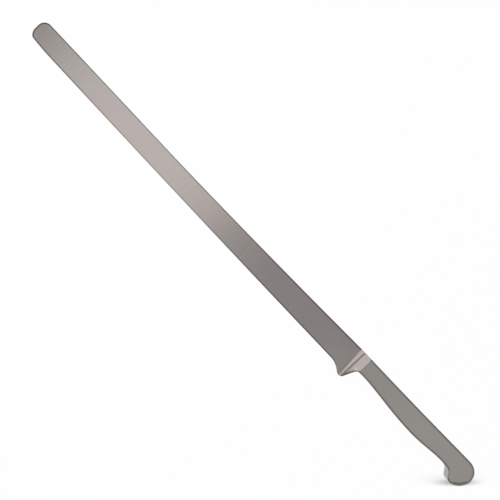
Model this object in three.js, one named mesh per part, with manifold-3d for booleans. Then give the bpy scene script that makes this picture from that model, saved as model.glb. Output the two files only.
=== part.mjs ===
// A salmon slicer, all in steel: a long parallel blade with a round end, a bolster with a beard,
// and a hollow handle of two welded half shells that ends in a hooked butt.
//
// Millimetres. The knife lies on its right flank with its left flank up. X runs from the tip to the
// butt, Y from the cutting edge to the spine, and Z up. The pieces are drawn about the heel: x = 0 is
// the front of the bolster, y = 0 the ends of the cutting edge and z = 0 the middle of the thickness.
// The group then moves them so that the origin is the middle of the knife's box, at its lowest level.

import * as THREE from "three";
import { mergeVertices } from "three/addons/utils/BufferGeometryUtils.js";
import Module from "manifold-3d";

// Blade: outline
const BLADE_LENGTH = 320;
const BLADE_WIDTH_FRONT = 15.7;
const BLADE_WIDTH_HEEL = 19.6;
const SPINE_FLARE_LENGTH = 194;
const SPINE_FLARE_POWER = 1.6;
const EDGE_BELLY = 0.55;
const EDGE_TIP_RISE = 1.1;
const EDGE_TIP_RISE_LENGTH = 22;
const TIP_RADIUS_EDGE = 6.3;
const TIP_CORNER_CUT = 1.15;
const TIP_FLAT = 3.45;
const HEEL_SWEEP_LENGTH = 10.5;
const HEEL_DROP = 4.1;

// Blade: thickness
const SPINE_THICKNESS_HEEL = 2.2;
const SPINE_THICKNESS_TIP = 1.8;
const FLANK_THICKNESS_AT_EDGE = 0.8;
const EDGE_BEVEL_HEIGHT = 0.9;
const EDGE_LAND = 0.06;
const HEEL_LAND = 1.2;
const SPINE_ROUND_WIDTH = 1.5;
const SPINE_ROUND_DEPTH = 0.7;
const SPINE_ROUND_SHARE = 0.7;

// Tang, in one piece with the blade: lengths behind the bolster and into the heel
const TANG_HEIGHT = 6;
const TANG_END_HEIGHT = 4;
const TANG_THICKNESS = 1.5;
const TANG_LENGTH = 57;
const TANG_ROOT = 2;

// Bolster: lengths from its front, heights from the edge line
const BOLSTER_LENGTH = 9.2;
const BOLSTER_FRONT_LIP = 0.15;
const FRONT_HOLLOW_LENGTH = 3.4;
const FRONT_FILLET_LENGTH = 1.7;
const FRONT_FILLET_RISE = 0.25;
const FRONT_HOLLOW_POWER = 3;
const BEARD_DROP = 4.62;
const BEARD_FOOT_AT = 1.9;
const BEARD_BACK_AT = 5.05;
const BEARD_BACK_LEVEL = -0.1;
const BEARD_BACK_ANGLE = 71;
const BEARD_THICKNESS = 5.6;
const BEARD_TAPER_POWER = 1.5;
const BEARD_EDGE_WIDTH = 1.4;
const SPIGOT_LENGTH = 8;

// Handle, seen from the side: lengths from the bolster, heights from the edge line
const HANDLE_LENGTH = 108.6;
const HANDLE_RISE = 1.3;
const NECK_HEIGHT = 12.7;
const NECK_SLOPE = 10;
const NECK_LENGTH = 5;
const NECK_RISE = 0.32;
const BELLY_AT = 54.1;
const BELLY_LEVEL = 4.4;

// Hook and butt of the handle: lengths forward from its end, heights from the edge line
const WAIST_FROM_END = 23.8;
const WAIST_LEVEL = 6.8;
const HOOK_WALL_FROM_END = 14.2;
const HOOK_WALL_LEVEL = 3.4;
const HOOK_WALL_ANGLE = 123;
const HOOK_NOSE_FROM_END = 9.4;
const HOOK_NOSE_LEVEL = 0.6;
const BUTT_TOP_FROM_END = 10.6;
const BUTT_END_LEVEL = 10.8;

// How far each curve of the outlines keeps its direction from its first end and to its last,
// as a share of the straight distance between them
const BEARD_FOOT_EASE = [0.33, 0.38];
const BEARD_BACK_EASE = [0.34, 0.52];
const BEARD_NECK_EASE = [0.46, 0.2];
const HANDLE_SPINE_EASE = [0.45, 0.12];
const BUTT_TOP_EASE = [0.43, 0.42];
const BUTT_BACK_EASE = [0.3, 0.29];
const HOOK_NOSE_EASE = [0.39, 0.42];
const HOOK_WALL_EASE = [0.43, 0.46];
const WAIST_EASE = [0.3, 0.4];
const BELLY_EASE = [0.4, 0.3];
const NECK_EASE = [0.35, 0.4];

// Handle: section
const HANDLE_THICKNESS = 12.5;
const HANDLE_EDGE_WIDTH = 2;
const HANDLE_EDGE_DEPTH = 0.8;
const SHELL_WALL = 1.2;
const SHELL_INNER_RADIUS = 0.5;

// Welds and packing
const WELD_WIDTH = 1;
const WELD_DEPTH = 0.6;
const PACKING_COVER = 6;

// Clearances
const TANG_CLEARANCE = 0.3;
const SPIGOT_CLEARANCE = 0.3;
const PACKING_CLEARANCE = 0.3;
const WELD_GAP = 0.1;

// Fineness of the curves
const TIP_STEPS = 10;
const BLADE_STEPS = 30;
const HEEL_STEPS = 8;
const SPINE_STEPS = 3;
const UNDERSIDE_STEPS = 20;
const FILLET_STEPS = 4;
const HOLLOW_STEPS = 8;
const COLLAR_STEPS = 9;
const FLANK_STEPS = 8;
const ROUND_STEPS = 5;
const OUTLINE_STEPS = 10;

// The round of the tip at the edge runs out a little below the edge, which cuts it off at a blunt
// corner. The round at the spine takes what this and the flat front leave.
const TIP_ROUND_LEVEL = EDGE_TIP_RISE - TIP_CORNER_CUT;
const TIP_RADIUS_SPINE = BLADE_WIDTH_FRONT - TIP_ROUND_LEVEL - TIP_RADIUS_EDGE - TIP_FLAT;

// Levels and places that several pieces share
const SPINE_LEVEL = BLADE_WIDTH_HEEL;
const NECK_LEVEL = SPINE_LEVEL - NECK_HEIGHT;
const NECK_MIDDLE = (SPINE_LEVEL + NECK_LEVEL) / 2;
const BUTT_TOP_LEVEL = SPINE_LEVEL + HANDLE_RISE;
const HANDLE_FRONT = BOLSTER_LENGTH;
const HANDLE_BACK = HANDLE_FRONT + HANDLE_LENGTH;
const HALF_THICKNESS = HANDLE_THICKNESS / 2;
const SPIGOT_END = HANDLE_FRONT + SPIGOT_LENGTH;
const TANG_END = HANDLE_FRONT + TANG_LENGTH;
const PACKING_END = TANG_END + PACKING_COVER;

// Further than any piece reaches, for the blocks that cut
const BEYOND = BLADE_LENGTH + HANDLE_BACK;

const wasm = await Module();
wasm.setup();

// A closed geometry as a solid that can be cut and joined
function solidOf(geometry) {
  const bare = geometry.clone();
  bare.deleteAttribute("normal");
  bare.deleteAttribute("uv");
  const merged = mergeVertices(bare, 1e-5);
  const mesh = new wasm.Mesh({
    numProp: 3,
    vertProperties: Float32Array.from(merged.attributes.position.array),
    triVerts: Uint32Array.from(merged.index.array),
  });
  return new wasm.Manifold(mesh);
}

// A cut or joined solid as a geometry
function geometryOf(solid) {
  const mesh = solid.getMesh();
  const geometry = new THREE.BufferGeometry();
  geometry.setAttribute("position", new THREE.BufferAttribute(mesh.vertProperties, 3));
  geometry.setIndex(new THREE.BufferAttribute(mesh.triVerts, 1));
  geometry.computeVertexNormals();
  return geometry;
}

// A block between two corners
function block(low, high) {
  const size = high.map((value, axis) => value - low[axis]);
  const middle = high.map((value, axis) => (value + low[axis]) / 2);
  return solidOf(new THREE.BoxGeometry(...size).translate(...middle));
}

// All the space between two planes across the knife
function slice(fromX, toX) {
  return block([fromX, -BEYOND, -BEYOND], [toX, BEYOND, BEYOND]);
}

// All the space between two levels of the thickness, from a place back
function layer(fromX, fromZ, toZ) {
  return block([fromX, -BEYOND, fromZ], [BEYOND, BEYOND, toZ]);
}

// A skin over closed rings of points, one ring for each place along X, with both ends closed.
// A ring is a list of [y, z] that turns from Y towards Z.
function loft(rings) {
  const count = rings[0].points.length;
  const positions = rings.flatMap(({ x, points }) => points.flatMap(([y, z]) => [x, y, z]));
  const indices = [];
  for (let ring = 0; ring + 1 < rings.length; ring += 1) {
    for (let corner = 0; corner < count; corner += 1) {
      const a = ring * count + corner;
      const b = ring * count + ((corner + 1) % count);
      indices.push(a, b, b + count, a, b + count, a + count);
    }
  }
  const closeEnd = (ring, facingBack) => {
    const contour = rings[ring].points.map(([y, z]) => new THREE.Vector2(y, z));
    for (const [a, b, c] of THREE.ShapeUtils.triangulateShape(contour, [])) {
      const corners = facingBack ? [a, b, c] : [a, c, b];
      indices.push(...corners.map((corner) => ring * count + corner));
    }
  };
  closeEnd(0, false);
  closeEnd(rings.length - 1, true);
  const geometry = new THREE.BufferGeometry();
  geometry.setAttribute("position", new THREE.Float32BufferAttribute(positions, 3));
  geometry.setIndex(indices);
  return geometry;
}

// A ring that is the same on both flanks, from its left half listed from the spine down
function mirroredRing(x, leftHalf) {
  const rightHalf = leftHalf.map(([y, z]) => [y, -z]).reverse();
  return { x, points: [...leftHalf, ...rightHalf] };
}

// Carries an outline on to a point, leaving at one angle and arriving at another, in degrees
function bend(outline, x, y, leaveAngle, arriveAngle, [leaveShare, arriveShare]) {
  const from = outline.currentPoint;
  const chord = Math.hypot(x - from.x, y - from.y);
  const leave = THREE.MathUtils.degToRad(leaveAngle);
  const arrive = THREE.MathUtils.degToRad(arriveAngle);
  outline.bezierCurveTo(
    from.x + chord * leaveShare * Math.cos(leave),
    from.y + chord * leaveShare * Math.sin(leave),
    x - chord * arriveShare * Math.cos(arrive),
    y - chord * arriveShare * Math.sin(arrive),
    x,
    y,
  );
}

// The directions that the outlines run in
const BACK = 0;
const FRONT = 180;
const DOWN = -90;

// Height of the spine above the edge line, with its flare towards the heel and its round tip
function spineAt(x) {
  const flare = Math.max(0, 1 + x / SPINE_FLARE_LENGTH) ** SPINE_FLARE_POWER;
  const level = BLADE_WIDTH_FRONT + (BLADE_WIDTH_HEEL - BLADE_WIDTH_FRONT) * flare;
  const short = Math.max(0, TIP_RADIUS_SPINE - (x + BLADE_LENGTH));
  return level - TIP_RADIUS_SPINE + Math.sqrt(TIP_RADIUS_SPINE ** 2 - short ** 2);
}

// How far the heel has swept down towards the beard, from 0 to 1
function heelSweep(x) {
  return Math.max(0, 1 + x / HEEL_SWEEP_LENGTH) ** 2;
}

// Height of the cutting edge: a slight belly, a rise to the round tip and the sweep at the heel
function edgeAt(x) {
  const across = 1 + (2 * x) / BLADE_LENGTH;
  const belly = EDGE_BELLY * (1 - across ** 2);
  const rise = EDGE_TIP_RISE * Math.max(0, 1 - (x + BLADE_LENGTH) / EDGE_TIP_RISE_LENGTH) ** 2;
  const level = rise - belly - HEEL_DROP * heelSweep(x);
  const short = TIP_RADIUS_EDGE - (x + BLADE_LENGTH);
  if (short <= 0) return level;
  const round = TIP_ROUND_LEVEL + TIP_RADIUS_EDGE - Math.sqrt(TIP_RADIUS_EDGE ** 2 - short ** 2);
  return Math.max(level, round);
}

// Half thickness of the blade on its flat flank, which is one plane from tip to heel
function flankAt(x, y) {
  const edge = FLANK_THICKNESS_AT_EDGE / 2;
  const acrossSlope = (SPINE_THICKNESS_HEEL / 2 - edge) / BLADE_WIDTH_HEEL;
  const tip = edge + acrossSlope * BLADE_WIDTH_FRONT;
  const alongSlope = (tip - SPINE_THICKNESS_TIP / 2) / BLADE_LENGTH;
  return edge + acrossSlope * y + alongSlope * x;
}

// Section of the blade: a rounded spine, with most of its thickness rounded where it is thin, a flat
// flank and the edge's bevel, which fades at the heel
function bladeRing(x) {
  const top = spineAt(x);
  const bottom = edgeAt(x);
  const land = (EDGE_LAND + (HEEL_LAND - EDGE_LAND) * heelSweep(x)) / 2;
  const shoulder = bottom + EDGE_BEVEL_HEIGHT;
  const shoulderHalf = Math.max(land, flankAt(x, shoulder));
  const roundDepth = Math.min(SPINE_ROUND_DEPTH, SPINE_ROUND_SHARE * flankAt(x, top));
  const leftHalf = [];
  for (let step = 0; step <= SPINE_STEPS; step += 1) {
    const turn = (step / SPINE_STEPS) * (Math.PI / 2);
    const y = top - SPINE_ROUND_WIDTH * (1 - Math.cos(turn));
    leftHalf.push([y, flankAt(x, y) - roundDepth * (1 - Math.sin(turn))]);
  }
  leftHalf.push([shoulder, shoulderHalf], [bottom, land]);
  return mirroredRing(x, leftHalf);
}

// Places along the blade: close together round the tip and down the heel
function bladePlaces() {
  const tipReach = Math.max(TIP_RADIUS_SPINE, TIP_RADIUS_EDGE);
  const tipEnd = tipReach - BLADE_LENGTH;
  const straight = -HEEL_SWEEP_LENGTH - tipEnd;
  const places = [];
  for (let step = 0; step < TIP_STEPS; step += 1) {
    const turn = (step / TIP_STEPS) * (Math.PI / 2);
    places.push(tipEnd - tipReach * Math.cos(turn));
  }
  for (let step = 0; step < BLADE_STEPS; step += 1) {
    places.push(tipEnd + (straight * step) / BLADE_STEPS);
  }
  for (let step = 0; step <= HEEL_STEPS; step += 1) {
    places.push(-HEEL_SWEEP_LENGTH * (1 - step / HEEL_STEPS));
  }
  return places;
}

// The tang, or with a clearance the room for it. It narrows from the bolster to its end.
function tangSolid(clearance, toX) {
  const slope = (TANG_HEIGHT - TANG_END_HEIGHT) / 2 / TANG_LENGTH;
  const halfAt = (x) => TANG_HEIGHT / 2 - slope * Math.max(0, x - HANDLE_FRONT) + clearance;
  const places = [-TANG_ROOT, HANDLE_FRONT, toX];
  const lower = places.map((x) => new THREE.Vector2(x, NECK_MIDDLE - halfAt(x)));
  const upper = places.map((x) => new THREE.Vector2(x, NECK_MIDDLE + halfAt(x)));
  const side = new THREE.Shape([...lower, ...upper.reverse()]);
  const depth = TANG_THICKNESS + 2 * clearance;
  const plate = new THREE.ExtrudeGeometry(side, { depth, bevelEnabled: false });
  return solidOf(plate.translate(0, 0, -depth / 2));
}

function bladeGeometry() {
  const plate = solidOf(loft(bladePlaces().map(bladeRing)));
  return geometryOf(plate.add(tangSolid(0, TANG_END)));
}

// Outline of the handle, drawn forward through the bolster so that its front can be cut square
function handleOutline() {
  const fromFront = (length) => HANDLE_FRONT + length;
  const fromEnd = (length) => HANDLE_BACK - length;
  const outline = new THREE.Shape();
  const spineLength = HANDLE_LENGTH - BUTT_TOP_FROM_END;
  const spineAngle = THREE.MathUtils.radToDeg(Math.atan2(HANDLE_RISE, spineLength));
  outline.moveTo(0, SPINE_LEVEL);
  outline.lineTo(HANDLE_FRONT, SPINE_LEVEL);
  bend(outline, fromEnd(BUTT_TOP_FROM_END), BUTT_TOP_LEVEL, BACK, spineAngle, HANDLE_SPINE_EASE);
  bend(outline, HANDLE_BACK, BUTT_END_LEVEL, BACK, DOWN, BUTT_TOP_EASE);
  bend(outline, fromEnd(HOOK_NOSE_FROM_END), HOOK_NOSE_LEVEL, DOWN, FRONT, BUTT_BACK_EASE);
  const hookWall = fromEnd(HOOK_WALL_FROM_END);
  bend(outline, hookWall, HOOK_WALL_LEVEL, FRONT, HOOK_WALL_ANGLE, HOOK_NOSE_EASE);
  bend(outline, fromEnd(WAIST_FROM_END), WAIST_LEVEL, HOOK_WALL_ANGLE, FRONT, HOOK_WALL_EASE);
  bend(outline, fromFront(BELLY_AT), BELLY_LEVEL, FRONT, FRONT, WAIST_EASE);
  bend(outline, fromFront(NECK_LENGTH), NECK_LEVEL + NECK_RISE, FRONT, FRONT, BELLY_EASE);
  bend(outline, HANDLE_FRONT, NECK_LEVEL, FRONT, FRONT + NECK_SLOPE, NECK_EASE);
  outline.lineTo(0, NECK_LEVEL);
  return outline;
}

// The handle's form with its edges rounded, drawn in by an inset all round
function handleForm(inset) {
  const width = Math.max(HANDLE_EDGE_WIDTH - inset, SHELL_INNER_RADIUS);
  const roundDepth = Math.max(HANDLE_EDGE_DEPTH - inset, SHELL_INNER_RADIUS);
  const depth = HANDLE_THICKNESS - 2 * (inset + roundDepth);
  const form = new THREE.ExtrudeGeometry(handleOutline(), {
    depth,
    curveSegments: OUTLINE_STEPS,
    bevelThickness: roundDepth,
    bevelSize: width,
    bevelOffset: -(inset + width),
    bevelSegments: ROUND_STEPS,
  });
  return solidOf(form.translate(0, 0, -depth / 2));
}

// The outer skin of the handle, down to a depth
function handleSkin(depth) {
  return handleForm(0).subtract(handleForm(depth));
}

// Lower outline of the bolster, from the blade's heel round the beard up to the handle's neck
function bolsterUnderside() {
  const heelAngle = THREE.MathUtils.radToDeg(Math.atan2(-2 * HEEL_DROP, HEEL_SWEEP_LENGTH));
  const path = new THREE.Path();
  path.moveTo(0, -HEEL_DROP);
  bend(path, BEARD_FOOT_AT, -BEARD_DROP, heelAngle, BACK, BEARD_FOOT_EASE);
  bend(path, BEARD_BACK_AT, BEARD_BACK_LEVEL, BACK, BEARD_BACK_ANGLE, BEARD_BACK_EASE);
  bend(path, BOLSTER_LENGTH, NECK_LEVEL, BEARD_BACK_ANGLE, BACK + NECK_SLOPE, BEARD_NECK_EASE);
  return path.getPoints(UNDERSIDE_STEPS);
}

// Height of a line of points at a place along X
function levelOn(points, x) {
  const next = Math.max(1, points.findIndex((point) => point.x >= x));
  const [a, b] = [points[next - 1], points[next]];
  return a.y + ((b.y - a.y) * (x - a.x)) / (b.x - a.x);
}

// How far down the beard a level lies, from 0 at the neck to 1 at the foot
function downBeard(y) {
  return THREE.MathUtils.clamp((NECK_LEVEL - y) / (NECK_LEVEL + BEARD_DROP), 0, 1);
}

// Half thickness of the bolster: a fillet and a hollow step at the front, a flat flank, thinner down
// the beard
function bolsterHalfAt(x, y) {
  const front = SPINE_THICKNESS_HEEL / 2 + BOLSTER_FRONT_LIP;
  const fillet = FRONT_FILLET_RISE * Math.min(1, x / FRONT_FILLET_LENGTH) ** 2;
  const stepLength = FRONT_HOLLOW_LENGTH - FRONT_FILLET_LENGTH;
  const along = THREE.MathUtils.clamp((x - FRONT_FILLET_LENGTH) / stepLength, 0, 1);
  const step = 1 - (1 - along ** FRONT_HOLLOW_POWER) ** (1 / FRONT_HOLLOW_POWER);
  const hollow = front + fillet + (HALF_THICKNESS - front - FRONT_FILLET_RISE) * step;
  const thinning = (HALF_THICKNESS - BEARD_THICKNESS / 2) * downBeard(y) ** BEARD_TAPER_POWER;
  return Math.min(hollow, HALF_THICKNESS - thinning);
}

// Section of the bolster, with its edges rounded as far as its thickness allows
function bolsterRing(x, bottom) {
  const lowerWidth = THREE.MathUtils.lerp(HANDLE_EDGE_WIDTH, BEARD_EDGE_WIDTH, downBeard(bottom));
  const topRoom = bolsterHalfAt(x, SPINE_LEVEL) / 2;
  const bottomRoom = bolsterHalfAt(x, bottom) / 2;
  const topDepth = Math.min(HANDLE_EDGE_DEPTH, topRoom);
  const bottomDepth = Math.min(HANDLE_EDGE_DEPTH, bottomRoom);
  const topWidth = Math.min(HANDLE_EDGE_WIDTH, 2 * topRoom);
  const bottomWidth = Math.min(lowerWidth, 2 * bottomRoom);
  const flankTop = SPINE_LEVEL - topWidth;
  const flankBottom = bottom + bottomWidth;
  const leftHalf = [];
  for (let step = 0; step < ROUND_STEPS; step += 1) {
    const turn = (step / ROUND_STEPS) * (Math.PI / 2);
    const y = flankTop + topWidth * Math.cos(turn);
    leftHalf.push([y, bolsterHalfAt(x, y) - topDepth * (1 - Math.sin(turn))]);
  }
  for (let step = 0; step < FLANK_STEPS; step += 1) {
    const y = THREE.MathUtils.lerp(flankTop, flankBottom, step / FLANK_STEPS);
    leftHalf.push([y, bolsterHalfAt(x, y)]);
  }
  for (let step = 0; step <= ROUND_STEPS; step += 1) {
    const turn = (step / ROUND_STEPS) * (Math.PI / 2);
    const y = flankBottom - bottomWidth * Math.sin(turn);
    leftHalf.push([y, bolsterHalfAt(x, y) - bottomDepth * (1 - Math.cos(turn))]);
  }
  return mirroredRing(x, leftHalf);
}

// Places along the bolster: down its fillet, round its hollow step, then evenly to its back
function bolsterPlaces() {
  const places = [];
  for (let step = 0; step < FILLET_STEPS; step += 1) {
    places.push((FRONT_FILLET_LENGTH * step) / FILLET_STEPS);
  }
  for (let step = 0; step < HOLLOW_STEPS; step += 1) {
    const turn = (step / HOLLOW_STEPS) * (Math.PI / 2);
    places.push(THREE.MathUtils.lerp(FRONT_FILLET_LENGTH, FRONT_HOLLOW_LENGTH, Math.sin(turn)));
  }
  for (let step = 0; step <= COLLAR_STEPS; step += 1) {
    places.push(THREE.MathUtils.lerp(FRONT_HOLLOW_LENGTH, BOLSTER_LENGTH, step / COLLAR_STEPS));
  }
  return places;
}

// The bolster's collar, the spigot behind it that the shells close on, and the slot for the tang
function bolsterGeometry() {
  const underside = bolsterUnderside();
  const collar = solidOf(loft(bolsterPlaces().map((x) => bolsterRing(x, levelOn(underside, x)))));
  const core = handleForm(SHELL_WALL + SPIGOT_CLEARANCE);
  const spigot = core.intersect(slice(FRONT_HOLLOW_LENGTH, SPIGOT_END));
  return geometryOf(collar.add(spigot).subtract(tangSolid(TANG_CLEARANCE, TANG_END)));
}

// Room for the two welds in the outside of the shells
function weldGrooves() {
  const skin = handleForm(-WELD_GAP).subtract(handleForm(WELD_DEPTH + WELD_GAP));
  const ring = slice(0, HANDLE_FRONT + WELD_WIDTH + WELD_GAP);
  const seam = layer(0, -WELD_WIDTH / 2 - WELD_GAP, WELD_WIDTH / 2 + WELD_GAP);
  return skin.intersect(ring.add(seam));
}

function shellGeometry(fromZ, toZ) {
  const wall = handleSkin(SHELL_WALL).subtract(weldGrooves());
  return geometryOf(wall.intersect(layer(HANDLE_FRONT, fromZ, toZ)));
}

function seamWeldGeometry() {
  const strip = layer(HANDLE_FRONT + WELD_WIDTH + WELD_GAP, -WELD_WIDTH / 2, WELD_WIDTH / 2);
  return geometryOf(handleSkin(WELD_DEPTH).intersect(strip));
}

function bolsterWeldGeometry() {
  const ring = slice(HANDLE_FRONT, HANDLE_FRONT + WELD_WIDTH);
  return geometryOf(handleSkin(WELD_DEPTH).intersect(ring));
}

// The resin fills the shells round the tang, and covers its end
function packingGeometry() {
  const filling = handleForm(SHELL_WALL + PACKING_CLEARANCE);
  const length = slice(SPIGOT_END + PACKING_CLEARANCE, PACKING_END);
  const pocket = tangSolid(TANG_CLEARANCE, TANG_END + TANG_CLEARANCE);
  return geometryOf(filling.intersect(length).subtract(pocket));
}

function material(colour, roughness, metalness) {
  return new THREE.MeshStandardMaterial({ color: colour, roughness, metalness });
}

function piece(name, geometry, finish) {
  const mesh = new THREE.Mesh(geometry, finish);
  mesh.name = name;
  return mesh;
}

const knife = new THREE.Group();
knife.add(
  piece("blade", bladeGeometry(), material(0xb0a8a5, 0.32, 1)),
  piece("bolster", bolsterGeometry(), material(0xc4bbb8, 0.14, 1)),
  piece("handle_shell_left", shellGeometry(0, BEYOND), material(0x97938e, 0.38, 1)),
  piece("handle_shell_right", shellGeometry(-BEYOND, 0), material(0x97938e, 0.38, 1)),
  piece("handle_seam_weld", seamWeldGeometry(), material(0x9c978f, 0.36, 1)),
  piece("bolster_weld", bolsterWeldGeometry(), material(0xa39a90, 0.3, 1)),
  piece("tang_packing", packingGeometry(), material(0x6f6455, 0.8, 0)),
);
knife.position.set(
  (BLADE_LENGTH - HANDLE_BACK) / 2,
  (BEARD_DROP - BUTT_TOP_LEVEL) / 2,
  HALF_THICKNESS,
);

export default knife;
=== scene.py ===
# %% [markdown]
# A salmon slicer lies on its right flank: a long thin blade with a round end, a polished bolster with
# a beard, and a hollow satin handle that ends in a hook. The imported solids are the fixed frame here.
# They are exact but faceted, so each piece that shows is laid again as a smooth surface in the same
# place, and gets the finish that its maker would give it.

# %% Load the frame
import math

import bmesh
import bpy
import numpy as np
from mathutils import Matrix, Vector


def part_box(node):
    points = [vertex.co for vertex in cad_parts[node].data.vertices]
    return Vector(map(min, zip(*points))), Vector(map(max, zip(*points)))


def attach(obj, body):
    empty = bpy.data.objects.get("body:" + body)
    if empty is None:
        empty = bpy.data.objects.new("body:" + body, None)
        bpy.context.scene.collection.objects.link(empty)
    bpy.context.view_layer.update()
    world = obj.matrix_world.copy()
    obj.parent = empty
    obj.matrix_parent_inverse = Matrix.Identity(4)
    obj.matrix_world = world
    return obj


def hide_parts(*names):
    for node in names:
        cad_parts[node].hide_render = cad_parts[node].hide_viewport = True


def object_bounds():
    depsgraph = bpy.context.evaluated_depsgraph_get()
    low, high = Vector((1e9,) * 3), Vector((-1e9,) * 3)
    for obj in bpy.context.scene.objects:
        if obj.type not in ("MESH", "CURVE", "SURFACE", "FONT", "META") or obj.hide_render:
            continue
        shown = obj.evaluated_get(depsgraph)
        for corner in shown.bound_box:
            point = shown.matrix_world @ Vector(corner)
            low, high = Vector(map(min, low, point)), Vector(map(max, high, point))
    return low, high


MM = 0.001

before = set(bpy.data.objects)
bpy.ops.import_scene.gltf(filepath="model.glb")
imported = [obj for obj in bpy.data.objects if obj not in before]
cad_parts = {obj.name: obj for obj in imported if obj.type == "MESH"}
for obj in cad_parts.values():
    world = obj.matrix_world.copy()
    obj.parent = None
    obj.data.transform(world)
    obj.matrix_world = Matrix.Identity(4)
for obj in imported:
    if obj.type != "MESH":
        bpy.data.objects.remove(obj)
CAD_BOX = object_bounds()
print("nodes:", ", ".join(sorted(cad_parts)))
print("box in mm:", [round((high - low) / MM, 2) for low, high in zip(*CAD_BOX)])

# %% [markdown]
# A cutler draws a knife about its heel, where the blade meets the bolster. So x runs from the heel to
# the butt, y from the cutting edge to the spine and z out of the left flank, in millimetres. The frame
# says where the heel is. One function carries points from the drawing into the frame, in metres, so
# every object can stay at the origin with its place in its mesh.

# %% The heel, and the sizes that the frame gives
BLADE_WIDTH_HEEL = 19.6

bolster_low, bolster_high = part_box("bolster")
HEEL = np.array([
    bolster_low.x,
    bolster_high.y - BLADE_WIDTH_HEEL * MM,
    (CAD_BOX[0].z + CAD_BOX[1].z) / 2,
])
BLADE_LENGTH = (HEEL[0] - CAD_BOX[0].x) / MM
BEARD_DROP = (HEEL[1] - CAD_BOX[0].y) / MM
HANDLE_BACK = (CAD_BOX[1].x - HEEL[0]) / MM
BUTT_TOP_LEVEL = (CAD_BOX[1].y - HEEL[1]) / MM
HALF_THICKNESS = (CAD_BOX[1].z - HEEL[2]) / MM
SPINE_LEVEL = BLADE_WIDTH_HEEL


def to_frame(points):
    """Points about the heel in millimetres become points of the frame in metres."""
    return HEEL + MM * np.asarray(points)


print(f"blade {BLADE_LENGTH:.1f} mm, bolster and handle {HANDLE_BACK:.1f} mm")

# %% [markdown]
# Every piece of this knife is a ring of points that changes as it travels: round the blade, round the
# bolster, round the wall of a half shell. So one helper lays faces over a grid of rings. A ring closes
# on itself. The rings form either a closed loop or a run with two ends. A ring at an end is folded shut:
# its first half lies against its second half, point for point, and faces join the two.

# %% Lay a skin over rings
SHARP_ANGLE = math.radians(18)
SAME_PLACE = 1e-8


def grid_faces(rings, size, loop):
    """Corners of the quads between neighbouring rings of a grid, ring after ring, point after point."""
    ring = np.arange(rings if loop else rings - 1)[:, None]
    point = np.arange(size)[None, :]
    after = (ring + 1) % rings
    beside = (point + 1) % size
    corners = [ring * size + point, ring * size + beside, after * size + beside, after * size + point]
    return np.stack(np.broadcast_arrays(*corners), -1).reshape(-1, 4)


def folded_end(first, size):
    """Quads that join the first half of a ring to its second half, which runs back beside it."""
    point = np.arange(size // 2 - 1)
    far = size - 1 - point
    return first + np.stack([point, point + 1, far - 1, far], -1)


def skin(name, rings, loop=False, start=True, end=True):
    """A closed mesh over rings[ring, point], with its faces turned outwards and its edges crisp."""
    count, size = rings.shape[:2]
    faces = [grid_faces(count, size, loop)]
    if start and not loop:
        faces.append(folded_end(0, size))
    if end and not loop:
        faces.append(folded_end((count - 1) * size, size))
    mesh = bpy.data.meshes.new(name)
    mesh.from_pydata(to_frame(rings.reshape(-1, 3)), [], np.concatenate(faces))
    work = bmesh.new()
    work.from_mesh(mesh)
    bmesh.ops.remove_doubles(work, verts=work.verts, dist=SAME_PLACE)
    bmesh.ops.recalc_face_normals(work, faces=work.faces)
    work.to_mesh(mesh)
    work.free()
    mesh.shade_smooth()
    mesh.set_sharp_from_angle(angle=SHARP_ANGLE)
    piece = bpy.data.objects.new(name, mesh)
    bpy.context.scene.collection.objects.link(piece)
    return piece


def dress(piece, node):
    """The piece rides on the knife's one body and stands for its solid."""
    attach(piece, "root")
    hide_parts(node)
    print(f"{piece.name}: {len(piece.data.vertices)} points, {len(piece.data.polygons)} faces")


# %% [markdown]
# The outlines are smooth curves between a few places where a cutler would set a radius gauge. A Bezier
# curve that leaves at one angle and arrives at another does this well, and it needs no table of points.
# Walking along an outline, the inside of the piece lies to one hand, so the inward direction is the
# tangent turned by a quarter.

# %% Curves and their inward directions
BACK, UP, FRONT, DOWN = 0, 90, 180, -90
QUARTER_EASE = (0.39, 0.39)


def heading(degrees):
    """Unit vector at an angle from X towards Y."""
    return np.array([math.cos(math.radians(degrees)), math.sin(math.radians(degrees))])


def bend(start, stop, leave, arrive, ease, steps=40):
    """Cubic Bezier curve from start to stop. Its two handles run along the angles at which it leaves
    and arrives, and their lengths are the ease's two shares of the straight distance."""
    start, stop = np.asarray(start, float), np.asarray(stop, float)
    chord = np.linalg.norm(stop - start)
    near = start + chord * ease[0] * heading(leave)
    far = stop - chord * ease[1] * heading(arrive)
    t = np.linspace(0, 1, steps + 1)[:, None]
    return (1 - t) ** 3 * start + 3 * (1 - t) ** 2 * t * near + 3 * (1 - t) * t**2 * far + t**3 * stop


def spread_evenly(path, count):
    """The same line with its points at equal distances along it."""
    steps = np.linalg.norm(np.diff(path, axis=0), axis=1)
    along = np.concatenate([[0], np.cumsum(steps)])
    wanted = np.linspace(0, along[-1], count)
    return np.column_stack([np.interp(wanted, along, path[:, axis]) for axis in (0, 1)])


def inward(path, hand):
    """Unit vectors into the piece along its outline: the tangent turned left for 1, right for -1."""
    tangent = np.gradient(path, axis=0)
    tangent /= np.linalg.norm(tangent, axis=1, keepdims=True)
    return hand * np.column_stack([-tangent[:, 1], tangent[:, 0]])


def smooth_step(value, low, high):
    """0 below low, 1 above high and an even S between them."""
    share = np.clip((value - low) / (high - low), 0, 1)
    return share * share * (3 - 2 * share)


print("a quarter bend:", bend((0, 0), (1, 1), BACK, UP, QUARTER_EASE, 2).round(2).tolist())

# %% [markdown]
# The blade is forged flat, ground to a thin wedge from spine to edge, and ends in a blunt round tip that
# slips under the skin of a fish. Its spine runs straight and flares a little towards the heel. Its edge
# has a slight belly and sweeps down at the heel to the beard. Each line is one short formula of x, with
# the round of the tip cut out of it as a quarter circle.

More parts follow.
